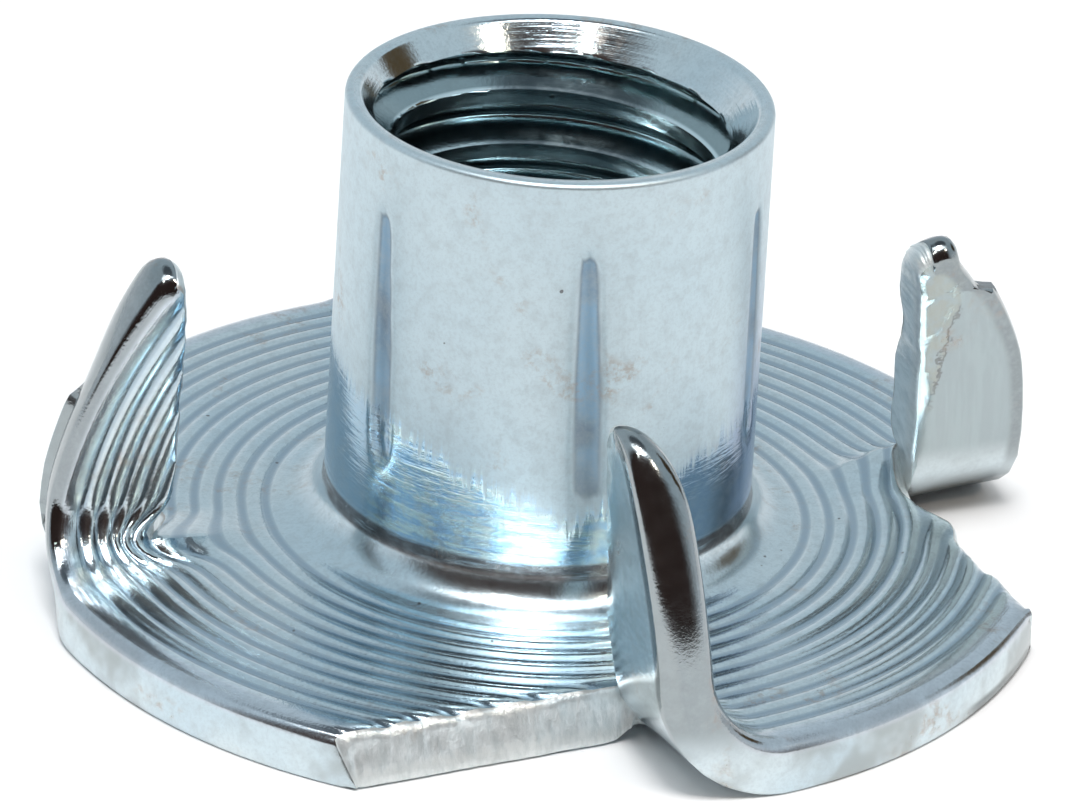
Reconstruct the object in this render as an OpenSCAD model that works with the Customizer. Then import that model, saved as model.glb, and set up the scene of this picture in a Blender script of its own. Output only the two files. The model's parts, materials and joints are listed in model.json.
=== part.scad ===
// Tee nut: one round blank of sheet steel. Its middle is drawn up into a barrel and
// tapped, and four horns are sheared from the rim and folded up as prongs.
// The origin is on the bore's axis at the underside of the flange, +Z runs up the barrel.

/* [Barrel] */
// Height from the underside of the flange to the rim
overall_h = 10.6; // [9:0.1:14]
// Outside diameter of the barrel at its rim
barrel_d = 8.8; // [8.7:0.05:9.1]
// Draft of the barrel's wall, in degrees, wider towards the flange
barrel_draft = 0.73; // [0:0.01:1]
// Rounding of the rim's outer edge
rim_round = 0.25; // [0.1:0.01:0.26]
// Fillet where the barrel runs into the flange
root_fillet = 0.85; // [0.4:0.05:1]

/* [Bore] */
// Diameter of the bore over the crests of its thread
bore_d = 6.86; // [6.6:0.02:7]
// Diameter of the countersink at the rim
mouth_d = 8.18; // [7.4:0.02:8.2]
// Slope of the countersink, in degrees from the axis
mouth_angle = 37; // [30:1:50]
// Rounded lead-in under the flange, where the sheet was drawn up
lead_in = 0.9; // [0.3:0.05:1]

/* [Flutes in the barrel] */
// Number of pressed flutes
flute_count = 6; // [3:1:8]
// Radius of the round tool that pressed them
flute_r = 0.45; // [0.3:0.05:0.6]
// Depth of a flute at its upper end
flute_depth = 0.06; // [0.04:0.01:0.12]
// Height of a flute's lower end
flute_low = 3.7; // [3:0.1:5]
// Drop from the rim to a flute's upper end
flute_drop = 1.5; // [0.9:0.1:2.5]
// Direction of the first flute, in degrees from +X
flute_turn = 17.3; // [0:0.1:59]

/* [Flange] */
// Thickness of the sheet
sheet_t = 1.18; // [1:0.02:1.3]
// Diameter of the round blank
flange_d = 21.64; // [20.6:0.02:22.6]
// Width of the rolled-over upper edge
roll_w = 0.4; // [0.2:0.05:0.6]
// Drop of the rolled-over upper edge
roll_h = 0.28; // [0.1:0.02:0.4]
// Spacing of the concentric rings pressed into the top
ring_pitch = 0.48; // [0.44:0.01:0.6]
// Width of one ring's hollow
ring_w = 0.36; // [0.2:0.02:0.4]
// Depth of one ring's hollow
ring_depth = 0.05; // [0.03:0.01:0.08]

/* [Prongs] */
// Distance from the axis to the shear cut of each prong, counted from +X
shear_reach = [7.8, 7.5, 7.4, 7.5]; // [7.2:0.1:8]
// Angle by which the shear cuts are out of square to the fold lines
shear_skew = 3.3; // [0:0.1:6]
// Width of the shear cuts
shear_gap = 0.12; // [0.06:0.01:0.2]
// Distance past the radial line at which the folds start
fold_start = 1.29; // [0.8:0.01:1.6]
// Inside radius of the folds
fold_r = 1.6; // [1.2:0.05:1.8]
// Angle through which each prong is folded up
fold_angle = [71, 86, 94, 86]; // [65:1:96]
// Rounding of the prongs' tips
tip_round = 0.3; // [0.2:0.02:0.4]
// Length of the chip torn off the first prong's tip
chip_length = 1; // [0.4:0.1:1.6]
// Thickness of sheet left beside that chip
chip_left = 0.5; // [0.3:0.05:0.8]

/* [Hidden] */
$fn = 128;
over = 0.5;            // how far a cutting shape stands proud of what it cuts
skin = 0.01;           // how far a tongue lies inside the sheet that it joins
tongue = 0.15;         // length of a tongue
tuck = tongue / 3;     // how far up a tongue the flange's sheared edge lies
arc_steps = 8;         // chords in a rounded corner of a section
roll_steps = 4;        // chords across the rolled edge
tip_steps = 4;         // chords around a prong's tip
prong_count = 4;
rim_r = barrel_d / 2;
bore_r = bore_d / 2;
mouth_r = mouth_d / 2;
plate_r = flange_d / 2;
mouth_depth = (mouth_r - bore_r) / tan(mouth_angle);
root_z = sheet_t + root_fillet;
root_r = wall_r(root_z) + root_fillet;
flute_high = overall_h - flute_drop;
ring_space = ring_pitch - ring_w;
ring_first = root_r + ring_w / 2 + ring_space;
ring_count = floor((plate_r - roll_w - ring_w / 2 - ring_first) / ring_pitch) + 1;
fold_out_r = fold_r + sheet_t;
fold_mid_r = fold_r + sheet_t / 2;

// Radius of the barrel's wall at height z.
function wall_r(z) = rim_r + (overall_h - z) * tan(barrel_draft);

// Radius of ring i on the flat blank.
function ring_r(i) = ring_first + i * ring_pitch;

// Distance along a fold line of what lay at radius r on the blank, s past the radial line.
function along(r, s) = sqrt(r * r - s * s);

// Points of an elliptical arc about c, with radii a and b, from angle a0 to a1.
function arc(c, a, b, a0, a1, n = arc_steps) =
    [for (i = [0:n]) let (t = a0 + (a1 - a0) * i / n) [c.x + a * cos(t), c.y + b * sin(t)]];

// Rolled upper edge of a sheet whose rim is at r and whose top is at height z.
function rolled_edge(r, z) = arc([r - roll_w, z - roll_h], roll_w, roll_h, 0, 90, roll_steps);

// Distance along the fold line to the shear cut of prong k, s past the radial line.
function shear_x(k, s) = (shear_reach[k] - s * sin(shear_skew)) / cos(shear_skew);

// Length of sheet in the fold of prong k, and where its straight horn begins.
function fold_length(k) = fold_angle[k] * PI / 180 * fold_mid_r;
function horn_start(k) = fold_start - fold_length(k);

// Section of the drawn blank, solid to the axis.
module blank_section() {
    ring_hollows = [
        for (i = [ring_count - 1:-1:0])
            for (side = [1, 0, -1])
                [ring_r(i) + side * ring_w / 2, sheet_t - (side == 0 ? ring_depth : 0)]
    ];
    polygon(concat(
        [[0, 0], [plate_r, 0]],
        rolled_edge(plate_r, sheet_t),
        ring_hollows,
        arc([root_r, root_z], root_fillet, root_fillet, 270, 180),
        arc([rim_r - rim_round, overall_h - rim_round], rim_round, rim_round, 0, 90),
        [[0, overall_h]]
    ));
}

// Tapped bore with its countersink and the drawn lead-in below.
module bore() {
    translate([0, 0, -over])
        cylinder(h = overall_h + 2 * over, r = bore_r);
    translate([0, 0, overall_h - mouth_depth])
        cylinder(h = mouth_depth + over, r1 = bore_r, r2 = mouth_r + over * tan(mouth_angle));
    rotate_extrude()
        polygon(concat(
            [[0, -over], [bore_r + lead_in, -over]],
            arc([bore_r + lead_in, lead_in], lead_in, lead_in, 270, 180),
            [[0, lead_in]]
        ));
}

// One pressed flute: a round-ended tool laid against the barrel's wall.
module flute() {
    low = flute_low + flute_r;
    high = flute_high - flute_r;
    translate([wall_r(flute_high) + flute_r - flute_depth, 0, 0]) {
        translate([0, 0, low])
            cylinder(h = high - low, r = flute_r);
        for (z = [low, high])
            translate([0, 0, z])
                sphere(r = flute_r);
    }
}

// What the shear and the fold take away from the flange beside prong k.
module sheared_window(k) {
    edge = fold_start + tuck;
    translate([0, 0, -over])
        linear_extrude(sheet_t + 2 * over)
            polygon([
                [shear_x(k, edge), edge],
                [shear_x(k, -flange_d), -flange_d],
                [flange_d, -flange_d],
                [flange_d, edge]
            ]);
}

// Barrel and flange, with the prongs' windows sheared out.
module drawn_body() {
    difference() {
        rotate_extrude()
            blank_section();
        bore();
        for (i = [0:flute_count - 1])
            rotate([0, 0, flute_turn + i * 360 / flute_count])
                flute();
        for (k = [0:prong_count - 1])
            at_prong(k)
                sheared_window(k);
    }
}

// Place of prong k: x runs out along its fold line, y across it.
module at_prong(k) {
    rotate([0, 0, k * 360 / prong_count])
        children();
}

// Swings a section of [distance from the fold's axis, distance along it] from one angle to another.
module swing(from, to) {
    translate([0, fold_start, fold_out_r])
        rotate([0, 90, 0])
            rotate([0, 0, -to])
                rotate_extrude(angle = to - from)
                    children();
}

// The fold of prong k, with a tongue into the flange and the rings carried round.
module fold(k) {
    mid = fold_start - fold_length(k) / 2;
    inner = shear_x(k, 0) + shear_gap;
    outer = (along(plate_r, fold_start) + along(plate_r, horn_start(k))) / 2;
    slack = asin(tongue / fold_out_r);
    edge = rolled_edge(outer, sheet_t);
    difference() {
        swing(-slack, fold_angle[k])
            polygon(concat(
                [[fold_out_r - skin, inner], [fold_out_r - skin, outer]],
                [for (i = [0:roll_steps]) [fold_out_r - edge[i].y + (i == roll_steps ? skin : 0), edge[i].x]],
                [[fold_r + skin, inner]]
            ));
        for (i = [0:ring_count - 1])
            if (along(ring_r(i), mid) > inner + ring_w)
                swing(slack, fold_angle[k] - slack)
                    ring_tool(along(ring_r(i), mid));
    }
}

// Section of the tool that presses a ring at distance x along a fold.
module ring_tool(x) {
    polygon([[fold_r + ring_depth, x], [fold_r - ring_depth, x - ring_w], [fold_r - ring_depth, x + ring_w]]);
}

// Outline of horn k on the flat blank, from its tongue in the fold to its rounded tip.
module horn_outline(k) {
    start = horn_start(k) + tongue;
    reach = shear_reach[k] + shear_gap;
    spread = acos((reach + tip_round) / (plate_r - tip_round));
    centre = (plate_r - tip_round) * [cos(shear_skew - spread), sin(shear_skew - spread)];
    tip = arc(centre, tip_round, tip_round, shear_skew + 180, shear_skew - spread + 360, tip_steps);
    chord = tip[tip_steps] - tip[tip_steps - 1];
    leaves = tip[tip_steps - 1] + over * chord / norm(chord);
    polygon(concat(
        [[shear_x(k, start) + shear_gap / cos(shear_skew), start]],
        [for (i = [0:tip_steps - 1]) tip[i]],
        [leaves, [plate_r + over, leaves.y], [plate_r + over, start]]
    ));
}

// The straight horn of prong k on the flat blank, with its rolled edge and rings.
module flat_horn(k) {
    difference() {
        intersection() {
            rotate_extrude()
                polygon(concat(
                    [[root_r, skin], [plate_r, skin]],
                    rolled_edge(plate_r, sheet_t - skin),
                    [[root_r, sheet_t - skin]]
                ));
            translate([0, 0, -over])
                linear_extrude(sheet_t + 2 * over)
                    horn_outline(k);
        }
        for (i = [0:ring_count - 1])
            rotate_extrude()
                translate([0, fold_out_r])
                    rotate(-90)
                        ring_tool(ring_r(i));
        if (k == 0)
            chip();
    }
}

// What was torn off the underside of the first prong's tip.
module chip() {
    reach = plate_r * cos(shear_skew - acos(shear_reach[0] / plate_r));
    drop = plate_r * sin(shear_skew - acos(shear_reach[0] / plate_r));
    translate([reach + tip_round, drop - over, -over])
        cube([plate_r, over + chip_length, over + sheet_t - chip_left]);
}

// The straight horn of prong k, swung up by its fold.
module horn(k) {
    translate([0, fold_start, fold_out_r])
        rotate([-fold_angle[k], 0, 0])
            translate([0, -horn_start(k), -fold_out_r])
                flat_horn(k);
}

module prong(k) {
    at_prong(k) {
        fold(k);
        horn(k);
    }
}

module tee_nut() {
    color("lightsteelblue") {
        drawn_body();
        for (k = [0:prong_count - 1])
            prong(k);
    }
}

tee_nut();
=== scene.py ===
import json
from math import atan2, cos, exp, hypot, pi, radians, sin, sqrt, tan

import bmesh
import bpy
from mathutils import Matrix, Vector, noise


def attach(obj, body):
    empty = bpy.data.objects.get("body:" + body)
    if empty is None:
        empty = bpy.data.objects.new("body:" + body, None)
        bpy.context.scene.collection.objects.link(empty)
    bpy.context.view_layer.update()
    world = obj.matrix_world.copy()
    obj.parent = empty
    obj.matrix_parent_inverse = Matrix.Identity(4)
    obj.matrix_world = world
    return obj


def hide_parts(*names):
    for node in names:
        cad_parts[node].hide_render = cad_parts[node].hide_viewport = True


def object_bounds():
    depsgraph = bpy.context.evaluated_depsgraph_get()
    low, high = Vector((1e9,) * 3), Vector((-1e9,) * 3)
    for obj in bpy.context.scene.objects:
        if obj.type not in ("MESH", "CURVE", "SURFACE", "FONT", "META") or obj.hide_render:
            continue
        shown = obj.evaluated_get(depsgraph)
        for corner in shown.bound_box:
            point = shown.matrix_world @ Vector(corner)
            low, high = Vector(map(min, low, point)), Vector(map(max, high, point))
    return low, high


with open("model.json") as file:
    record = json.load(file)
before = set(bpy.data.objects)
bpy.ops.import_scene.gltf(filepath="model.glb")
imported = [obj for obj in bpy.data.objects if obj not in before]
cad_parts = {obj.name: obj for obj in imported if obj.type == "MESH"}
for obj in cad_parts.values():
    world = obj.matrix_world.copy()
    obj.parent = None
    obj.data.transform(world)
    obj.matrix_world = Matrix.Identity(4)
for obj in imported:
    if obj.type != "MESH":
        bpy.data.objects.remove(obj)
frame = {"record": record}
cad_low, cad_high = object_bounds()
cad_thread = frame["record"]["mounts"][0]["dims"]

# ---------------------------------------------------------------------------------------
# Drawn blank: a disc of sheet steel whose middle was drawn up into a barrel, with a rolled
# upper rim, a fillet at the root and shallow rings pressed into the face that meets the
# wood. It is turned about the bore's axis, in millimetres until the nut is finished.
mm = 0.001
columns = 288
overall_h = cad_high.z / mm
sheet_t = 1.18
plate_r = 10.82
barrel_r = 4.4
barrel_draft = radians(0.73)
lip_round = 0.12
root_fillet = 0.85
mouth_r = 4.09
mouth_angle = radians(37)
crest_r = cad_thread["r_mm"]
mouth_bevel_w, mouth_bevel_h = 0.03, 0.04
lead_in = 0.9
roll_w = 0.4
roll_h = 0.28
burr_round = 0.07
ring_first, ring_step, ring_tighter, ring_count = 5.2, 0.515, 0.0035, 11
ring_depth = 0.05
ring_hollow = 0.31
ring_clear = 0.03
rim_bulge = 0.05
rim_levels = (0.78, 0.62, 0.46, 0.3, 0.16)
under_rim = 0.5
thread_low, thread_high = 1.5, 9.3
seam = 0.03
slack = 0.001


def wall_r(z):
    """Radius of the barrel's drafted wall at a height."""
    return barrel_r + (overall_h - z) * tan(barrel_draft)


def arc(centre, across, up, start, end, steps):
    """Points of an elliptical arc in the section, from one angle to another in degrees."""
    turns = [radians(start + (end - start) * i / steps) for i in range(steps + 1)]
    return [(centre[0] + across * cos(t), centre[1] + up * sin(t)) for t in turns]


def rows(start, end, steps):
    """Points of a straight stretch of the section, without its last one."""
    return [tuple(a + (b - a) * i / steps for a, b in zip(start, end)) for i in range(steps)]


def ring_place(i):
    """Radius of ring i; the rings draw together a little towards the rim."""
    return ring_first + ring_step * i - ring_tighter * i * i


root_z = sheet_t + root_fillet
root_r = wall_r(root_z) + root_fillet
face_r = plate_r - roll_w
rim_mid = (sheet_t - roll_h) / 2
mouth_low = overall_h - (mouth_r - crest_r) / tan(mouth_angle)
lip_in = barrel_r - lip_round
hollow_shape = [(-0.5, 0), (-0.32, 0.6), (0, 1), (0.32, 0.6), (0.5, 0)]
ringed_face = [
    (ring_place(i) + across * ring_hollow, sheet_t - depth * ring_depth)
    for i in range(ring_count)
    for across, depth in hollow_shape
    if root_r + ring_clear < ring_place(i) + across * ring_hollow < face_r - ring_clear
]
section = (
    rows((crest_r, thread_high + seam), (crest_r, mouth_low), 9)
    + rows((crest_r, mouth_low), (mouth_r - mouth_bevel_w, overall_h - mouth_bevel_h), 18)
    + [(mouth_r - mouth_bevel_w, overall_h - mouth_bevel_h), (mouth_r + mouth_bevel_w, overall_h)]
    + arc((lip_in, overall_h - lip_round), lip_round, lip_round, 90, 0, 7)
    + rows((barrel_r, overall_h - lip_round), (wall_r(root_z), root_z), 42)[1:]
    + arc((root_r, root_z), root_fillet, root_fillet, 180, 270, 10)
    + ringed_face
    + arc((face_r, sheet_t - roll_h), roll_w, roll_h, 90, 0, 8)
    + [(plate_r + rim_bulge * (1 - ((z - rim_mid) / rim_mid) ** 2), z) for z in rim_levels]
    + arc((plate_r - burr_round, burr_round), burr_round, burr_round, 0, -90, 2)
    + rows((plate_r - under_rim, 0), (crest_r + lead_in, 0), 12)
    + arc((crest_r + lead_in, lead_in), lead_in, lead_in, 270, 180, 8)
    + rows((crest_r, lead_in), (crest_r, thread_low), 7)[1:]
    + [(crest_r, thread_low - seam)]
)
nut = bmesh.new()
spine = [nut.verts.new((r, 0, z)) for r, z in section]
spine += [nut.edges.new(pair) for pair in zip(spine, spine[1:])]
bmesh.ops.spin(
    nut, geom=spine, cent=(0, 0, 0), axis=(0, 0, 1), angle=2 * pi, steps=columns, use_merge=True
)

# ---------------------------------------------------------------------------------------
# Thread: a right-hand M8 coarse thread tapped through the barrel. Its middle turns are one
# profile swept up a helix; where it runs out into the countersink and into the lead-in
# under the flange, the turned rows of the bore are cut by the same profile.
pitch = 1.25
thread_root_r = 4.0
crest_half = 0.16
root_half = 0.06
crest_z = 8.816
tap_clear = 0.035


def clamped(t):
    return min(max(t, 0), 1)


def thread_r(off):
    """Radius of the thread at a distance along the axis from the middle of a crest."""
    flank = (abs(off) - crest_half) / (pitch / 2 - root_half - crest_half)
    return crest_r + (thread_root_r - crest_r) * clamped(flank)


def bore_r(angle, z):
    """Radius of the tapped bore, countersunk at the mouth and rounded at the lower end."""
    turns = (z - crest_z) / pitch - angle / (2 * pi)
    cone = mouth_r - (overall_h - z) * tan(mouth_angle)
    drawn = crest_r + lead_in - sqrt(max(lead_in**2 - (lead_in - z) ** 2, 0)) if z < lead_in else 0
    return max(thread_r((turns - round(turns)) * pitch), cone, drawn)


def place_of(v):
    """Sorts vertices by place; two in one place go by the faces that they belong to."""
    return (*v.co, sum(round(f.calc_center_median().x, 3) for f in v.link_faces))


def corners_of(part):
    return sorted(v.index for v in part.verts)


def in_order():
    """Puts the nut's parts in the order of their places, so that each run goes on alike."""
    for parts, key in ((nut.verts, place_of), (nut.edges, corners_of), (nut.faces, corners_of)):
        for i, part in enumerate(sorted(parts, key=key)):
            part.index = i
        parts.sort()
    held = bpy.data.meshes.new("held")
    nut.to_mesh(held)
    nut.clear()
    nut.from_mesh(held)
    bpy.data.meshes.remove(held)


def open_edges(z):
    """Open edges of the bore that lie in one level plane."""
    return [
        e for e in nut.edges
        if e.is_boundary and all(abs(v.co.z - z) < 1e-4 and v.co.xy.length < mouth_r for v in e.verts)
    ]


for v in nut.verts:
    in_mouth = v.co.xy.length < mouth_r - tap_clear
    in_lead = v.co.z < lead_in and v.co.xy.length < crest_r + lead_in - slack
    if v.co.z > slack and (in_mouth or in_lead):
        angle = atan2(v.co.y, v.co.x)
        r = bore_r(angle, v.co.z)
        v.co.xy = r * cos(angle), r * sin(angle)

first_turn = int((thread_low - crest_z) / pitch) - 2
turn_count = int((thread_high - thread_low) / pitch) + 4
tooth_offs = [-0.5, -0.44, -0.34, -0.22, -0.13, -0.07, 0, 0.07, 0.13, 0.22, 0.34, 0.44, 0.5]
tap = bmesh.new()
tooth = [tap.verts.new((thread_r(o * pitch), 0, crest_z + (first_turn + o) * pitch)) for o in tooth_offs]
tooth += [tap.edges.new(pair) for pair in zip(tooth, tooth[1:])]
bmesh.ops.spin(
    tap, geom=tooth, cent=(0, 0, 0), axis=(0, 0, 1), dvec=(0, 0, pitch / columns),
    angle=2 * pi, steps=columns,
)
one_turn = bpy.data.meshes.new("one_turn")
tap.to_mesh(one_turn)
tap.free()
known = set(nut.verts)
for i in range(turn_count):
    nut.from_mesh(one_turn)
    one_turn.transform(Matrix.Translation((0, 0, pitch)))
helix = [v for v in nut.verts if v not in known]
bmesh.ops.remove_doubles(nut, verts=helix, dist=1e-3)
for level, away in ((thread_high, 1), (thread_low, -1)):
    helix = [v for v in nut.verts if v not in known]
    beside = [e for v in helix for e in v.link_edges] + [f for v in helix for f in v.link_faces]
    bmesh.ops.bisect_plane(
        nut, geom=helix + list(dict.fromkeys(beside)),
        dist=1e-5, plane_co=(0, 0, level), plane_no=(0, 0, away), clear_outer=True,
    )
in_order()
for level, away in ((thread_high, 1), (thread_low, -1)):
    bmesh.ops.bridge_loops(nut, edges=open_edges(level) + open_edges(level + away * seam))

# ---------------------------------------------------------------------------------------
# Flutes: shallow marks pressed down the barrel by the drawing tool, a little aslant.
flute_count = 6
flute_turn = radians(17.3)
flute_top, flute_low = 9.1, 3.6
flute_half = 0.33
flute_narrow, flute_spread = 0.6, 3
flute_depth = 0.075
flute_belly = 0.8
flute_slant = radians(3) / 5


def flute_at(angle, z):
    """Depth of the flutes at a place on the barrel."""
    between = 2 * pi / flute_count
    turned = angle - flute_turn - flute_slant * (flute_top - z)
    off = turned - round(turned / between) * between
    down = clamped((flute_top - z) / flute_spread)
    half = flute_half * (flute_narrow + (1 - flute_narrow) * down)
    across = off * wall_r(z) / half
    past = max(z - flute_top + flute_half, flute_low + flute_half - z, 0) / flute_half
    inside = 1 - across**2 - past**2
    return flute_depth * inside**flute_belly if inside > 0 else 0


def on_wall(place):
    """Whether a place lies on the outside of the barrel, between its fillet and its lip."""
    return root_z < place.z < overall_h - lip_round and place.xy.length > mouth_r


for v in nut.verts:
    if on_wall(v.co):
        angle = atan2(v.co.y, v.co.x)
        v.co.xy *= 1 - flute_at(angle, v.co.z) / v.co.xy.length

# ---------------------------------------------------------------------------------------
# Prongs: four horns sheared from the rim of the blank and folded up in the same stroke.
# The punch stops short of the fold, so that each cut ends in a small torn crack and lifts
# the plate beside it. x runs out along the fold line and y across it, on the flat blank.
prong_count = 4
keep_r = 6.6
fold_start = 1.29
fold_r, fold_in_r, fold_in_x = 1.6, 0.5, 7.9
fold_angle = [radians(a) for a in (71, 86, 94, 86)]
shear_reach = [7.8, 7.5, 7.6, 7.5]
shear_flare = [0.35, 0.4, 0.2, 0.45]
shear_skew = radians(3.3)
crack_end = [-0.25, -0.3, -0.5, -0.2]
crack_hook = [0.5, 0.4, 0.85, 0.15]
crack_reach, crack_fade, crack_settle = 0.9, 1.3, 1.7
horn_edge = [8.42, 7.6, 7.83, 7.36]
horn_lean = [radians(a) for a in (-11.4, 2, 0, 0)]
tip_under = [0.46, 0.4, 0.32, 0.68]
tip_over = [0.62, 0.5, 0.32, 1.1]
tip_dome = 0.13
rim_taper = [0, 0.1, 0.42, 0.1]
rim_round = [0, 0.06, 0.06, 0.13]
edge_wave = [0.1, 0.06, 0.05, 0.05]
edge_round = [0.024, 0.06, 0.06, 0.06]
edge_drop, edge_round_w, edge_skin, edge_fade = 0.06, 0.24, 0.06, 0.35
tear_depth = 0.03
chipped_horn, chip_depth, chip_rim, chip_shoulder = 0, 0.05, 0.26, -6.35
chip_edge = [(-8.2, 8.4), (-6.45, 8.1), (-4.8, 7.85), (-2.6, 8.05), (0, 8.4)]
chip_rough, chip_step = 0.15, 0.16
burred_horn, burr_proud, burr_w = 2, 0.22, 0.2
knob_horn, knob_at, knob_half, knob_proud = 0, -2.95, 0.6, 0.22
wall_rows = 8
horn_wall, flange_wall = 1, 2
bisect_near = 0.01
upper_z, lower_z = sheet_t - roll_h - slack, burr_round + slack

flat_place = nut.verts.layers.float_vector.new("flat_place")
groove = nut.verts.layers.float.new("groove")
for v in nut.verts:
    v[flat_place] = v.co
    if root_r < v.co.xy.length < face_r and v.co.z > sheet_t - ring_depth * 1.1:
        v[groove] = min((sheet_t - v.co.z) / ring_depth, 1)
    if on_wall(v.co):
        v[groove] = flute_at(atan2(v.co.y, v.co.x), v.co.z) / flute_depth


def eased(t):
    """Goes smoothly from 0 to 1 as t does."""
    t = clamped(t)
    return t * t * (3 - 2 * t)


def bump(t):
    """A smooth hump of height 1 at 0, gone by about 2."""
    return exp(-t * t)


def whole(faces):
    """The faces given, with their edges and corners, as an operator wants them."""
    parts = [e for f in faces for e in f.edges] + [v for f in faces for v in f.verts]
    return faces + list(dict.fromkeys(parts))


def collapse(chain):
    """Welds a run of vertices into one straight edge between its two ends."""
    ends = chain[0], chain[-1]
    targets = {v: min(ends, key=lambda end: (end.co - v.co).length) for v in chain[1:-1]}
    if targets:
        bmesh.ops.weld_verts(nut, targetmap=targets)


def run_of(edges):
    """Vertices of one open run of edges, in order."""
    ends = [v for e in edges for v in e.verts]
    at = next(v for v in ends if ends.count(v) == 1)
    left, run = list(edges), [at]
    while left:
        e = next(e for e in left if at in e.verts)
        left.remove(e)
        at = e.other_vert(at)
        run.append(at)
    return run


def skewed(x, y, lean):
    """A place on the blank in coordinates turned by a small angle."""
    return x * cos(lean) + y * sin(lean), -x * sin(lean) + y * cos(lean)


def cut_at(k, z):
    """How far out, in skewed coordinates, horn k was sheared at a height in the sheet."""
    return (shear_reach[k] + shear_flare[k] * (1 - z / sheet_t)) * cos(shear_skew)


def past_cut(k, place):
    """How far a place lies outside the sheared line of horn k."""
    return skewed(place.x, place.y, shear_skew)[0] - cut_at(k, place.z)


def rounded_tip(u, v, cut, tip_round):
    """Pulls the corner between the sheared edge and the rim back to a round tip."""
    cu = cut + tip_round
    cv = -sqrt((plate_r - tip_round) ** 2 - cu**2)
    du, dv = u - cu, v - cv
    out_u, out_v = cu / (plate_r - tip_round), cv / (plate_r - tip_round)
    if dv > 0 or du * out_v - dv * out_u < 0 or hypot(du, dv) < 1e-6:
        return u, v
    d = hypot(du, dv)
    way_u, way_v = du / d, dv / d
    along = cu * way_u + cv * way_v
    to_rim = -along + sqrt(along**2 + plate_r**2 - cu**2 - cv**2)
    to_cut = tip_round / -way_u if way_u < 0 else to_rim
    squeeze = tip_round / min(to_rim, to_cut)
    return cu + du * squeeze, cv + dv * squeeze


def drawn_in(k, y, h, r):
    """How far the rim of horn k is drawn in, at height h through the sheet."""
    taper = rim_taper[k] * (1 - h) * eased((r - 9.6) / 1.2) * eased((y + 7) / 3) * eased((1.3 - y) / 1.3)
    taper += rim_round[k] * abs(2 * h - 1) ** 3 * eased((r - 10.2) / 0.5) * eased((-0.5 - y) / 1.5)
    if k == chipped_horn:
        past_shoulder = eased((chip_shoulder + 0.9 * h - y) / chip_step) * (1 - eased((-7.1 - y) / 0.6))
        taper += chip_rim * (1 + 0.4 * h) * past_shoulder * eased((r - 9.4) / 1.2)
    return taper


def chipped_off(x, y):
    """Share of the chip's depth lost from the back of the horn, inside a ragged line."""
    edge_x = next(
        a + (b - a) * (y - low_y) / (high_y - low_y)
        for (low_y, a), (high_y, b) in zip(chip_edge, chip_edge[1:]) if y < high_y or high_y == 0
    )
    rough = noise.noise(Vector((x * 2.2, y * 2.2, 0.3)))
    lost = eased((edge_x + chip_rough * rough - x) / chip_step) * eased((-4.2 - y) / 1.6)
    return lost * (1 + 0.3 * rough)


def horn_outline(k, flat):
    """Where a place on the blank lies once horn k has its own outline, still flat."""
    h = flat.z / sheet_t
    proud = max(hypot(flat.x, flat.y) / plate_r, 1)
    u, v = skewed(flat.x / proud, flat.y / proud, shear_skew)
    cut, horn_cut = cut_at(k, flat.z), horn_edge[k] * cos(horn_lean[k])
    corner, horn_corner = -sqrt(plate_r**2 - cut**2), -sqrt(plate_r**2 - horn_cut**2)
    v = max(v, corner + 0.003)
    horn_v = fold_start + (v - fold_start) * (horn_corner - fold_start) / (corner - fold_start)
    rim, horn_rim = sqrt(plate_r**2 - v * v), sqrt(plate_r**2 - horn_v**2)
    widened = (horn_rim - horn_cut) / (rim - cut)
    horn_u = horn_rim - (rim - u) * widened
    tip_round = tip_under[k] + (tip_over[k] - tip_under[k]) * h + tip_dome * (2 * h - 1) ** 2
    horn_u, horn_v = rounded_tip(horn_u, horn_v, horn_cut, tip_round)
    x, y = skewed(horn_u * proud, horn_v * proud, -horn_lean[k])
    settled = eased((crack_end[k] + 0.3 - flat.y) / crack_settle)
    x, y = flat.x + (x - flat.x) * settled, flat.y + (y - flat.y) * settled
    hooked = bump((y - crack_end[k]) / 0.8) * bump((horn_u - horn_cut) / 1.2)
    x += crack_hook[k] * (0.3 + 0.7 * h) * hooked
    r = hypot(x, y)
    taper, z = drawn_in(k, y, h, r), flat.z
    if k == burred_horn and z < lower_z and r > plate_r - burr_w:
        burr = eased((y + 4.3) / 0.6) * eased((-0.7 - y) / 0.8)
        taper -= burr_proud * burr
        z -= burr_round * burr
    if k == chipped_horn:
        z += chip_depth * (1 - h) * chipped_off(x, y)
    return Vector((x * (1 - taper / r), y * (1 - taper / r), z))


def folded(x, y, z, angle):
    """Where a place on the flat horn comes to lie; the bend is tighter towards the crack."""
    out = clamped((x - fold_in_x) / (plate_r - fold_in_x))
    bend_r = fold_in_r + (fold_r - fold_in_r) * out**0.6
    start = fold_start + (bend_r - fold_r) * tan(angle / 2)
    end = fold_start - angle * (fold_r + sheet_t / 2)
    end += (fold_r - bend_r) * sin(angle) + (start - fold_start) * cos(angle)
    turn = angle * clamped((start - y) / (start - end))
    past = max(end - y, 0)
    arm = bend_r + sheet_t - z
    return (
        max(start, y) - arm * sin(turn) - past * cos(turn),
        bend_r + sheet_t - arm * cos(turn) + past * sin(turn),
    )


def pressed(k, flat):
    """Where a place on the blank ends up on the folded horn k."""
    place = horn_outline(k, flat)
    return Vector((place.x, *folded(*place, fold_angle[k])))


def lifted(k, place, off):
    """How far the plate beside the end of cut k is pulled along with the horn."""
    from_crack = max(crack_end[k] - place.y, 0)
    line_y = max(place.y, crack_end[k])
    cut_x = cut_at(k, place.z) / cos(shear_skew) - line_y * tan(shear_skew)
    on_line = Vector((cut_x, line_y, place.z))
    pull = pressed(k, on_line) - on_line
    return pull * bump(max(-off, 0) / crack_reach) * eased(1 - from_crack / crack_fade)


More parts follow.
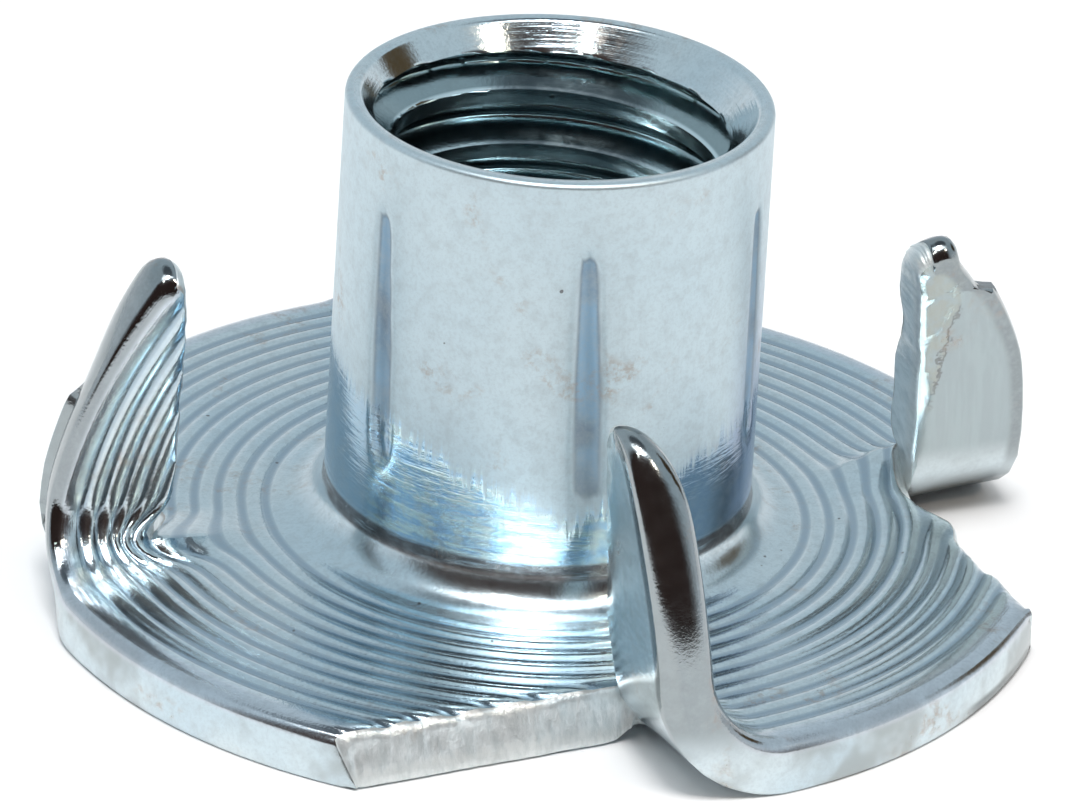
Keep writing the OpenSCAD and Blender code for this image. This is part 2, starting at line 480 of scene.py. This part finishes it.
def roughened(k, place, on_horn):
    """Where a place beside cut k lies once the edge is wavy, torn and a little rounded."""
    if place.y >= crack_end[k] + 0.1 or place.xy.length >= plate_r - 0.02:
        return place
    h, off = place.z / sheet_t, past_cut(k, place)
    along = skewed(place.x, place.y, shear_skew)[1]
    side = 1 if on_horn else -1
    at_face = 1 if min(place.z, sheet_t - place.z) < edge_skin else 0
    wave = noise.noise(Vector((along * 0.9, k * 7.3 + side, h * 0.7))) * edge_wave[k] * (0.4 + 1.6 * h)
    tear = noise.noise(Vector((along * 7, k * 3.1 + side, h * 1.3))) * tear_depth
    tear += noise.noise(Vector((along * 2.5, k + side * 5, h * 4))) * tear_depth
    tear *= (1 - 0.6 * at_face) * (1 + 1.3 * bump((place.y - crack_end[k]) / 0.7))
    if k == knob_horn and not on_horn:
        wave += knob_proud * bump((place.y - knob_at) / knob_half) * side
    close = at_face * max(1 - abs(off) / edge_round_w, 0) ** 2
    begun = eased((crack_end[k] + 0.1 - place.y) / 0.3)
    shift = side * edge_round[k] * close + (tear + wave * side) * exp(-abs(off) / edge_fade)
    moved = place.copy()
    moved.xy += square.xy.normalized() * shift * begun
    moved.z += (edge_drop if h < 0.5 else -edge_drop) * close * begun
    return moved


def beyond(face):
    """Whether a face lies outside the sheared line, on the side of the horn."""
    middle = face.calc_center_median()
    if middle.x < keep_r or middle.y > crack_end[k]:
        return False
    return face.material_index == horn_wall or (middle - on_cut).dot(square) > 1e-5


def cut_side(outside):
    """Open edges of the cut, on the horn's side of it or on the flange's."""
    return [e for e in nut.edges if e.is_boundary and beyond(e.link_faces[0]) == outside]


def straighten_rim(outside):
    """Makes one straight edge of the cut's run across the rim, on one side."""
    between = [
        e for e in cut_side(outside)
        if min(v.co.z for v in e.verts) < upper_z and max(v.co.z for v in e.verts) > lower_z
    ]
    collapse(run_of(between))


def close_cut(wall, outside):
    """Closes one side of the cut with a wall that runs from its upper to its lower edge."""
    side = cut_side(outside)
    upper = [e for e in side if all(v.co.z > upper_z for v in e.verts)]
    lower = [e for e in side if all(v.co.z < lower_z for v in e.verts)]
    made = bmesh.ops.bridge_loops(nut, edges=upper + lower)["faces"]
    for f in made:
        f.material_index = wall
    across = [
        e for e in dict.fromkeys(e for f in made for e in f.edges)
        if abs(e.verts[0].co.z - e.verts[1].co.z) > sheet_t / 3
    ]
    bmesh.ops.subdivide_edges(nut, edges=across, cuts=wall_rows, use_grid_fill=True)


for k in range(prong_count):
    # The nut is turned so that this prong's fold line runs out along x.
    spun = Matrix.Rotation(k * 2 * pi / prong_count, 3, "Z")
    flare = shear_flare[k] / sheet_t
    square = Vector((cos(shear_skew), sin(shear_skew), flare * cos(shear_skew))).normalized()
    on_cut = Vector((shear_reach[k] + shear_flare[k], 0, 0))
    bmesh.ops.rotate(nut, verts=nut.verts, cent=(0, 0, 0), matrix=spun.inverted())

    # The shear: from the rim to the end of the crack, along a leaning plane.
    beside = [f for f in nut.faces if f.calc_center_median().x > keep_r]
    bmesh.ops.bisect_plane(
        nut, geom=whole(beside), dist=bisect_near, plane_co=(0, crack_end[k], 0), plane_no=(0, 1, 0)
    )
    beside = [
        f for f in nut.faces if f.calc_center_median().x > keep_r and f.calc_center_median().y < crack_end[k]
    ]
    cut = bmesh.ops.bisect_plane(
        nut, geom=whole(beside), dist=bisect_near, plane_co=on_cut, plane_no=square
    )
    cut_edges = [e for e in cut["geom_cut"] if isinstance(e, bmesh.types.BMEdge)]
    for v in dict.fromkeys(v for e in cut_edges for v in e.verts):
        v.co.xy -= square.xy * (v.co - on_cut).dot(square) / square.xy.length_squared
    bmesh.ops.split_edges(nut, edges=cut_edges)

    # The chipped horn's back gets finer faces, so that its ragged line shows.
    if k == chipped_horn:
        smooth_back = [
            f for f in nut.faces
            if beyond(f) and f.calc_center_median().y < -2
            and all(v.co.x < 9.7 and v.co.z < 0.01 for v in f.verts)
        ]
        back_edges = list(dict.fromkeys(e for f in smooth_back for e in f.edges))
        bmesh.ops.subdivide_edges(nut, edges=back_edges, cuts=3, use_grid_fill=True)

    straighten_rim(True)
    straighten_rim(False)
    in_order()
    close_cut(horn_wall, True)
    close_cut(flange_wall, False)
    bmesh.ops.remove_doubles(nut, verts=[v for v in nut.verts if v.is_boundary], dist=1e-3)

    # The fold, with the torn edges and the lifted plate beside the crack.
    horn = {v for f in nut.faces if beyond(f) for v in f.verts}
    around = [
        v for v in nut.verts
        if v.co.x > keep_r - 1 and v.co.z < 2 and crack_end[k] - 8 < v.co.y < fold_start + 0.5
    ]
    for v in around:
        off = past_cut(k, v.co)
        on_horn = v in horn or (v.co.y > crack_end[k] - 1e-4 and off > -1e-4)
        v.co = roughened(k, v.co, on_horn)
        v.co = pressed(k, v.co) if on_horn else v.co + lifted(k, v.co, off)
    bmesh.ops.rotate(nut, verts=nut.verts, cent=(0, 0, 0), matrix=spun)

bmesh.ops.recalc_face_normals(nut, faces=nut.faces)
bmesh.ops.scale(nut, vec=(mm, mm, mm), verts=nut.verts)
sharp_from = radians(50)
for f in nut.faces:
    f.smooth = True
    f.material_index = min(f.material_index, horn_wall)
for e in nut.edges:
    e.smooth = not (e.is_manifold and e.calc_face_angle(0) > sharp_from)
nut_mesh = bpy.data.meshes.new("tee_nut_body")
nut.to_mesh(nut_mesh)
nut.free()
nut_body = bpy.data.objects.new("tee_nut_body", nut_mesh)
bpy.context.scene.collection.objects.link(nut_body)
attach(nut_body, "root")
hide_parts("tee_nut")

# ---------------------------------------------------------------------------------------
# Zinc plating: a thin bluish electroplate over drawn steel. It is satin where the cup was
# drawn, burnished round the root of the barrel and bright in the rings, with a bloom of
# fine specks and a few rusty stains. Its colour also holds painted light: painted shade in
# the flutes, ring hollows, bore and on horn 0, painted dark reflections in the fillet and on
# the horns' raised rims, a painted reflection of the flange low on the barrel, a painted
# violet sheen at one side, painted highlights on the thread's crests and painted light on
# the horns' backs.
zinc_blue, zinc_pale, zinc_satin = (0.60, 0.72, 0.78, 1), (0.68, 0.77, 0.80, 1), (0.57, 0.68, 0.725, 1)
# Painted reflection: the pale and blue colours low on the barrel stand in for the flange mirrored in it,
# darker towards its right and left edges.
reflection_blue, reflection_pale = (0.48, 0.76, 1.0, 1), (0.80, 1.0, 1.0, 1)
reflection_dark_right, reflection_dark_left = (0.26, 0.38, 0.50, 1), (0.34, 0.50, 0.62, 1)
# Painted sheen: a violet tinge where the barrel turns away on one side of the view.
sheen_violet = (0.42, 0.42, 0.72, 1)
# Painted shade in the flutes: dark blues laid into their hollows.
flute_shade_dark, flute_shade_blue, flute_shade_deep = (0.15, 0.20, 0.26, 1), (0.24, 0.40, 0.55, 1), (0.16, 0.21, 0.26, 1)
ring_shade_blue, roll_grey, rim_dark_reflection = (0.20, 0.30, 0.40, 1), (0.70, 0.73, 0.80, 1), (0.28, 0.31, 0.32, 1)
soil_grey, fillet_dark_reflection, crack_brown = (0.33, 0.35, 0.34, 1), (0.10, 0.075, 0.07, 1), (0.16, 0.15, 0.14, 1)
# Painted light and shade on the horns' raised backs: a pale lift over all of them, with darker streaks laid
# over it, and a darker shaded copy on horn 0.
back_painted_light, back_streak, first_back_shade = (0.88, 0.95, 0.96, 1), (0.50, 0.60, 0.60, 1), (0.38, 0.44, 0.455, 1)
# Painted shade on horn 0: darker blue on its face, near black under its bend.
first_face_shade, first_bend_shade = (0.20, 0.32, 0.40, 1), (0.10, 0.12, 0.12, 1)
stale_yellow, rust = (0.42, 0.40, 0.30, 1), (0.42, 0.30, 0.22, 1)
grain_grey, mottle_grey, speck_black = (0.40, 0.46, 0.49, 1), (0.45, 0.50, 0.52, 1), (0.12, 0.11, 0.11, 1)
# Painted shade in the bore and painted highlights on the thread's crests.
bore_shade, crest_highlight = (0.20, 0.29, 0.31, 1), (0.74, 0.88, 0.92, 1)
# The azimuth the nut is seen from; the painted reflection and sheen on the barrel are laid out from it.
view_side = radians(247.3)
zinc_relief_height = 0.000008


class Nodes:
    """Adds nodes to one tree and joins them up."""

    def __init__(self, tree):
        self.tree = tree

    def add(self, kind, settings=None, **inputs):
        node = self.tree.nodes.new("ShaderNode" + kind)
        for name, value in (settings or {}).items():
            setattr(node, name, value)
        for name, value in inputs.items():
            socket = node.inputs[int(name[1:])] if name[1:].isdigit() else node.inputs[name.replace("_", " ")]
            if isinstance(value, bpy.types.NodeSocket):
                self.tree.links.new(value, socket)
            else:
                socket.default_value = value
        return node

    def math(self, operation, a, b=0.0):
        return self.add("Math", {"operation": operation}, i0=a, i1=b).outputs[0]

    def times(self, value, *others):
        for other in others:
            value = self.math("MULTIPLY", value, other)
        return value

    def plus(self, value, *others):
        for other in others:
            value = self.math("ADD", value, other)
        return value

    def less(self, a, b):
        return self.math("SUBTRACT", a, b)

    def without(self, mask):
        """The mask turned round: 1 where it was 0."""
        return self.less(1.0, mask)

    def most(self, a, b):
        return self.math("MAXIMUM", a, b)

    def size(self, value):
        return self.math("ABSOLUTE", value)

    def step(self, value, low, high):
        """A soft step from 0 at low to 1 at high."""
        settings = {"interpolation_type": "SMOOTHSTEP"}
        return self.add("MapRange", settings, Value=value, From_Min=low, From_Max=high).outputs[0]

    def noise(self, place, scale, detail=2.0, rough=0.5, warp=0.0):
        settings = {"noise_dimensions": "3D"}
        return self.add(
            "TexNoise", settings, Vector=place, Scale=scale, Detail=detail, Roughness=rough, Distortion=warp
        ).outputs["Fac"]

    def streaks(self, places, stretch, detail, rough):
        """Noise with a scale of its own along each of three measures."""
        scaled = [self.times(place, scale) for place, scale in zip(places, stretch)]
        return self.noise(self.join(*scaled), 1.0, detail, rough)

    def mix(self, share, a, b):
        return self.add("Mix", {"data_type": "RGBA"}, i0=share, i6=a, i7=b).outputs[2]

    def over(self, tint, colour, *masks):
        """The tint with a colour laid over it, by the product of the masks and shares."""
        return self.mix(self.times(*masks), tint, colour)

    def split(self, vector):
        return self.add("SeparateXYZ", None, Vector=vector).outputs

    def join(self, x, y, z):
        return self.add("CombineXYZ", None, X=x, Y=y, Z=z).outputs[0]


bloom = bpy.data.node_groups.new("plating_bloom", "ShaderNodeTree")
bloom.interface.new_socket("Place", in_out="INPUT", socket_type="NodeSocketVector")
b = Nodes(bloom)
place_in = bloom.nodes.new("NodeGroupInput").outputs["Place"]
mottle = b.noise(place_in, 3.2, 4.0, 0.65)
cells = b.add("TexVoronoi", {"feature": "F1"}, Vector=place_in, Scale=1.6).outputs["Distance"]
speck_size = b.plus(b.times(b.noise(place_in, 1.3), 0.5), -0.3)
speck_size = b.plus(speck_size, b.times(b.noise(place_in, 12.0, 1.0), 0.08))
specks = b.step(b.less(speck_size, cells), -0.02, 0.01)
patches = b.step(b.noise(place_in, 0.62, 2.0, 0.5, 0.6), 0.57, 0.72)
stain = b.times(patches, b.step(b.noise(place_in, 4.4, 4.0, 0.72), 0.44, 0.66))
grain = b.noise(place_in, 13.0, 2.0, 0.7)
bloom_marks = {"Mottle": mottle, "Specks": specks, "Stain": stain, "Grain": grain}
for name in bloom_marks:
    bloom.interface.new_socket(name, in_out="OUTPUT", socket_type="NodeSocketFloat")
bloom_out = bloom.nodes.new("NodeGroupOutput")
for name, value in bloom_marks.items():
    bloom.links.new(value, bloom_out.inputs[name])


def new_metal(name):
    """A material of the nut, its nodes, and its places in mm: on the nut and on the flat blank."""
    metal = bpy.data.materials.new(name)
    metal.use_nodes = True
    nodes = Nodes(metal.node_tree)
    in_metres = nodes.add("TexCoord").outputs["Object"]
    in_mm = nodes.add("VectorMath", {"operation": "SCALE"}, Vector=in_metres, Scale=1 / mm).outputs[0]
    on_blank = nodes.add("Attribute", {"attribute_name": "flat_place"}).outputs["Vector"]
    return metal, nodes, in_mm, nodes.split(on_blank)


def plating_bloom(nodes, place):
    """Mottle, specks, stain and grain of the plating at a place."""
    return nodes.add("Group", {"node_tree": bloom}, Place=place).outputs


def dress(metal, tint, gloss, relief, metallic):
    """Joins colour, roughness and relief to a metal's shader and puts it on the nut."""
    shader = metal.node_tree.nodes["Principled BSDF"]
    for name, value in (("Base Color", tint), ("Roughness", gloss), ("Normal", relief)):
        metal.node_tree.links.new(value, shader.inputs[name])
    shader.inputs["Metallic"].default_value = metallic
    nut_mesh.materials.append(metal)


zinc, n, in_mm, (blank_x, blank_y, blank_z) = new_metal("zinc_plating")
x, y, z = n.split(in_mm)
out = n.math("SQRT", n.plus(n.times(x, x), n.times(y, y)))
round_x, round_y = n.math("DIVIDE", x, out), n.math("DIVIDE", y, out)
blank_out = n.math("SQRT", n.plus(n.times(blank_x, blank_x), n.times(blank_y, blank_y)))
hollow = n.add("Attribute", {"attribute_name": "groove"}).outputs["Fac"]
mottle, specks, stain, grain = plating_bloom(n, in_mm)
draw_lines = n.streaks((round_x, round_y, z), (45.0, 45.0, 0.4), 3.0, 0.6)
turn_lines = n.streaks((round_x, round_y, blank_out), (1.6, 1.6, 9.0), 3.0, 0.65)
cone_lines = n.streaks((round_x, round_y, out), (1.2, 1.2, 14.0), 3.0, 0.6)
root_lines = n.streaks((round_x, round_y, z), (3.0, 3.0, 7.0), 3.0, 0.7)
back_lines = n.streaks((blank_x, blank_y, blank_z), (4.5, 0.8, 0.8), 3.0, 0.6)

# Where each mark lies: barrel and flange, their hollows, the bore, and the folded prongs.
before_flange = n.without(n.step(blank_out, 5.5, 5.8))
on_barrel = n.times(n.step(z, 1.9, 2.3), n.step(out, 4.15, 4.35), before_flange)
on_top = n.times(n.step(blank_z, 1.0, 1.1), n.step(blank_out, 5.0, 5.3))
aside = n.less(n.times(round_y, cos(view_side)), n.times(round_x, sin(view_side)))
ragged = n.times(n.less(draw_lines, 0.5), 1.3)
# The burnish band low on the barrel is real in roughness and relief, and a painted reflection of the flange
# in colour; its ragged top follows the side of the view.
reflection_top = n.plus(n.times(n.size(n.less(aside, 0.15)), 1.75), n.plus(ragged, 3.1))
burnish_and_reflection = n.times(on_barrel, n.without(n.step(n.less(z, reflection_top), -0.3, 0.3)))
satin = n.times(on_barrel, n.without(burnish_and_reflection))
# Painted sheen: violet where the barrel turns away on one side of the view, fading out higher up.
painted_sheen = n.times(n.step(aside, 0.82, 0.97), n.without(n.step(z, 3.0, 9.0)))
flute = n.times(n.step(hollow, 0.02, 0.6), on_barrel)
# Painted shade: the hollows of the rings are darkened.
ring = n.times(n.step(hollow, 0.3, 0.9), on_top)
at_root = n.times(n.step(out, 4.15, 4.35), before_flange)
# Painted dark reflection: a dark streaky band round the fillet at the root of the barrel.
fillet_reflection_band = n.times(n.step(z, 1.75, 1.84), n.without(n.step(z, 2.1, 2.2)))
fillet_reflection_band = n.times(fillet_reflection_band, at_root, n.step(root_lines, 0.25, 0.5))
# The bore's thread gets painted shade, and its crests painted highlights.
in_bore = n.times(n.step(z, 0.6, 1.0), n.without(n.step(out, 4.0, 4.15)))
cone_out = n.plus(n.times(n.less(z, overall_h), tan(mouth_angle)), mouth_r)
off_cone = n.step(n.size(n.less(out, cone_out)), 0.015, 0.04)
on_cone = n.times(n.step(z, 9.4, 9.6), n.without(off_cone))
in_thread = n.times(in_bore, n.without(on_cone))
on_crest = n.times(in_thread, n.without(n.step(out, crest_r + 0.03, crest_r + 0.1)))
rim_soil = n.times(n.step(blank_out, 10.5, 10.7), n.step(n.noise(in_mm, 0.5, 3.0, 0.6), 0.4, 0.6))
roll = n.times(n.step(blank_out, 10.2, 10.35), n.step(blank_z, 0.85, 1.0))
# Painted dark reflection: the raised rims of the horns are darkened.
raised_rim = n.times(n.step(blank_out, 10.4, 10.6), n.step(z, 0.9, 1.8))
on_back = n.without(n.step(blank_z, 0.25, 0.4))
raised = n.times(on_back, n.step(z, 1.2, 2.2))
in_bend = n.times(on_back, n.without(n.step(z, 0.4, 1.5)))
first_horn = n.step(x, 5.6, 6.4)
first_face = n.times(on_top, first_horn, n.step(z, 1.6, 3.0))
past_crack = n.plus(n.less(8.08, x), n.times(n.less(mottle, 0.5), 0.7))
torn = n.times(raised, first_horn, n.step(z, 2.9, 3.5))
crack = n.without(n.step(n.size(past_crack), 0.015, 0.06))
crack = n.times(crack, torn, n.without(n.step(z, 6.1, 6.3)))
stale = n.times(torn, n.step(past_crack, -0.05, 0.1), n.step(mottle, 0.35, 0.6))

# Painted reflection of the flange on the lower barrel: pale and blue streaks, darker towards the right and
# left of the view.
reflection_streak = n.step(n.plus(n.times(root_lines, 0.6), n.times(mottle, 0.4)), 0.42, 0.58)
painted_reflection = n.mix(reflection_streak, reflection_blue, reflection_pale)
painted_reflection = n.mix(n.step(aside, 0.45, 0.6), painted_reflection, reflection_dark_right)
painted_reflection = n.mix(n.step(aside, -0.72, -0.8), painted_reflection, reflection_dark_left)
# Painted shade in the flutes, a little stronger higher on the barrel.
flute_shade = n.mix(n.step(n.noise(in_mm, 0.6, 2.0), 0.3, 0.55), flute_shade_dark, flute_shade_blue)
flute_shade = n.mix(n.step(hollow, 0.4, 0.8), flute_shade_deep, flute_shade)
flute_shade_share = n.plus(n.times(n.step(z, 3.0, 6.5), 0.2), 0.65)
tint = n.mix(n.step(n.noise(in_mm, 0.3, 2.0), 0.35, 0.65), zinc_blue, zinc_pale)
for colour, *masks in (
    (zinc_satin, satin, 0.8),
    # painted reflection of the flange, low on the barrel
    (painted_reflection, burnish_and_reflection, 0.95),
    # painted violet sheen
    (sheen_violet, painted_sheen, on_barrel, 0.32),
    # painted shade in the flutes
    (flute_shade, flute, flute_shade_share),
    # painted shade in the ring hollows
    (ring_shade_blue, ring, 0.6),
    (soil_grey, rim_soil, 0.7),
    (roll_grey, roll, 0.55),
    # painted light on the horns' raised backs
    (back_painted_light, raised, 0.85),
    # painted shade: a darker copy on horn 0's back
    (first_back_shade, raised, first_horn, 0.95),
    # painted shade on horn 0's face
    (first_face_shade, first_face, 0.7),
    (stale_yellow, stale, 0.55),
    (crack_brown, crack, 0.75),
    # painted shade under horn 0's bend
    (first_bend_shade, in_bend, first_horn, 0.85),
    (back_streak, raised, n.step(back_lines, 0.4, 0.65), 0.3),
    # painted dark reflection on the horns' raised rims
    (rim_dark_reflection, raised_rim, 0.85),
    (grain_grey, n.step(grain, 0.45, 0.65), 0.2),
    # painted dark reflection in the fillet
    (fillet_dark_reflection, fillet_reflection_band, 0.85),
    (mottle_grey, n.step(mottle, 0.42, 0.7), 0.3),
    (rust, stain, 0.5),
    # painted shade in the bore
    (bore_shade, in_thread, 0.75),
    # painted highlights on the thread's crests
    (crest_highlight, on_crest, 0.85),
    (speck_black, specks, 0.8),
):
    tint = n.over(tint, colour, *masks)

gloss = n.plus(n.times(n.less(mottle, 0.5), 0.18), 0.23)
gloss = n.plus(gloss, n.times(satin, 0.2))
gloss = n.less(gloss, n.times(on_top, 0.06))
gloss = n.less(gloss, n.times(burnish_and_reflection, 0.07))
gloss = n.plus(gloss, n.times(stain, 0.08))
gloss = n.less(gloss, n.times(n.most(n.most(on_cone, in_thread), raised_rim), 0.1))
height = n.times(grain, n.plus(n.times(on_top, 0.4), 0.6))
for lines, where, share in (
    (cone_lines, on_cone, 1.6),
    (draw_lines, satin, 0.5),
    (root_lines, burnish_and_reflection, 2.2),
    (turn_lines, on_top, 1.5),
):
    height = n.plus(height, n.times(lines, where, share))
height = n.less(height, n.times(specks, 0.8))
relief = n.add("Bump", None, Strength=0.6, Distance=zinc_relief_height, Height=height).outputs[0]
dress(zinc, tint, gloss, relief, 1.0)

# ---------------------------------------------------------------------------------------
# Sheared edges: the plated walls left by the shearing punch, pale and matt, scored by the
# punch through the thickness, with a darker line where the cut broke away.
cut_pale, cut_grey, broken_grey = (0.82, 0.87, 0.88, 1), (0.64, 0.70, 0.71, 1), (0.66, 0.66, 0.62, 1)
edge_brown, cut_rust = (0.24, 0.18, 0.14, 1), (0.45, 0.36, 0.26, 1)
cut_relief_height = 0.000014

cut_metal, n, in_mm, (blank_x, blank_y, blank_z) = new_metal("sheared_edge")
mottle, specks, stain, grain = plating_bloom(n, in_mm)
scores = n.streaks((blank_x, blank_y, blank_z), (6.5, 6.5, 0.7), 4.0, 0.65)
broken = n.without(n.step(n.plus(blank_z, n.times(scores, 0.5)), 0.5, 0.75))
# A darker brown line along the wall's upper edge.
upper_edge_line = n.step(n.plus(blank_z, n.times(mottle, 0.12)), 1.13, 1.19)
tint = n.mix(n.step(scores, 0.35, 0.7), cut_pale, cut_grey)
tint = n.over(tint, broken_grey, broken, 0.25)
tint = n.over(tint, edge_brown, upper_edge_line, 0.5)
tint = n.over(tint, cut_rust, stain, 0.5)
tint = n.over(tint, speck_black, specks, 0.6)
gloss = n.plus(n.times(mottle, 0.2), n.plus(0.28, n.times(broken, 0.12)))
height = n.plus(n.times(scores, 2.0), n.times(grain, 0.8))
relief = n.add("Bump", None, Strength=0.7, Distance=cut_relief_height, Height=height).outputs[0]
dress(cut_metal, tint, gloss, relief, 0.75)

# ---------------------------------------------------------------------------------------
# Floor, light and camera: a pale paper floor, a studio that is dark behind the camera and
# pale elsewhere, one large soft light high in front and two small lamps.
floor_half = 1.5
paper_white = (0.96, 0.94, 0.93, 1)
look_azimuth, look_up = radians(247.3), radians(26.177)
look_from, look_at = 0.12084, Vector((0, 0, 0.0044))
look_pitch, look_yaw, look_roll = radians(-0.363), radians(0.019), radians(-3.483)
look_lens = 193.0
room_low, room_high, room_top = (0.78, 0.82, 0.86, 1), (0.54, 0.63, 0.69, 1), (0.10, 0.12, 0.14, 1)
room_dark, room_window = (0.05, 0.032, 0.028, 1), (3.4, 3.5, 3.6, 1)
bench_brown, bench_way = (0.09, 0.06, 0.03, 1), (0.935, 0.09, 0.343)

floor_mesh = bpy.data.meshes.new("floor")
ground = bmesh.new()
bmesh.ops.create_grid(ground, x_segments=1, y_segments=1, size=floor_half)
ground.to_mesh(floor_mesh)
ground.free()
floor = bpy.data.objects.new("floor", floor_mesh)
bpy.context.scene.collection.objects.link(floor)
paper = bpy.data.materials.new("pale_paper")
paper.use_nodes = True
paper_shader = paper.node_tree.nodes["Principled BSDF"]
paper_shader.inputs["Base Color"].default_value = paper_white
paper_shader.inputs["Roughness"].default_value = 0.9
floor_mesh.materials.append(paper)

world = bpy.data.worlds.new("studio")
world.use_nodes = True
w = Nodes(world.node_tree)
way = w.add("TexCoord").outputs["Generated"]
way_x, way_y, way_z = w.split(way)
ahead = w.plus(w.times(way_x, cos(look_azimuth)), w.times(way_y, sin(look_azimuth)))
behind_camera = w.times(
    w.step(ahead, 0.25, 0.6), w.step(way_z, -0.12, -0.02), w.without(w.step(way_z, 0.80, 0.84))
)
above = w.times(w.step(way_z, 0.82, 0.86), w.without(w.step(way_z, 0.95, 0.975)), w.step(ahead, 0.1, 0.3))
bench = w.add("VectorMath", {"operation": "DOT_PRODUCT"}, i0=way, i1=bench_way).outputs["Value"]
room = w.mix(w.step(way_z, 0.0, 0.5), room_low, room_high)
for there, shade in (
    (behind_camera, room_dark),
    (w.step(way_z, 0.85, 0.95), room_top),
    (above, room_window),
    (w.step(bench, 0.965, 0.985), bench_brown),
):
    room = w.mix(there, room, shade)
backdrop = world.node_tree.nodes["Background"]
world.node_tree.links.new(room, backdrop.inputs["Color"])
backdrop.inputs["Strength"].default_value = 1.0
bpy.context.scene.world = world

for name, size, power, place, colour in (
    ("overhead", 0.13, 1.2, (-0.068, -0.163, 0.437), (1, 1, 1)),
    ("warm_lamp", 0.04, 0.16, (0.135, -0.245, 0.285), (1, 0.83, 0.66)),
    ("small_lamp", 0.018, 0.05, (-0.167, -0.192, 0.31), (1, 0.97, 0.92)),
):
    light = bpy.data.lights.new(name, "AREA")
    light.size = size
    light.energy = power
    light.color = colour
    lamp = bpy.data.objects.new(name, light)
    lamp.location = place
    aim = Vector((0, 0, 0.005)) - Vector(place)
    lamp.rotation_euler = aim.to_track_quat("-Z", "Y").to_euler()
    bpy.context.scene.collection.objects.link(lamp)

outward = Vector((cos(look_azimuth) * cos(look_up), sin(look_azimuth) * cos(look_up), sin(look_up)))
forward = -outward
right = forward.cross(Vector((0, 0, 1))).normalized()
up = right.cross(forward)
turn = Matrix.Rotation(look_yaw, 3, up) @ Matrix.Rotation(look_pitch, 3, right)
forward = turn @ forward
right = turn @ right
right = Matrix.Rotation(look_roll, 3, forward) @ right
up = right.cross(forward)
camera = bpy.data.objects.new("camera", bpy.data.cameras.new("camera"))
camera.data.lens = look_lens
camera.data.sensor_width = 36
camera.data.clip_start = 0.005
camera.data.clip_end = 10
camera.matrix_world = Matrix.Translation(look_at + look_from * outward) @ Matrix(
    (right, up, -forward)
).transposed().to_4x4()
bpy.context.scene.collection.objects.link(camera)
bpy.context.scene.camera = camera
bpy.context.scene.view_settings.view_transform = "Standard"
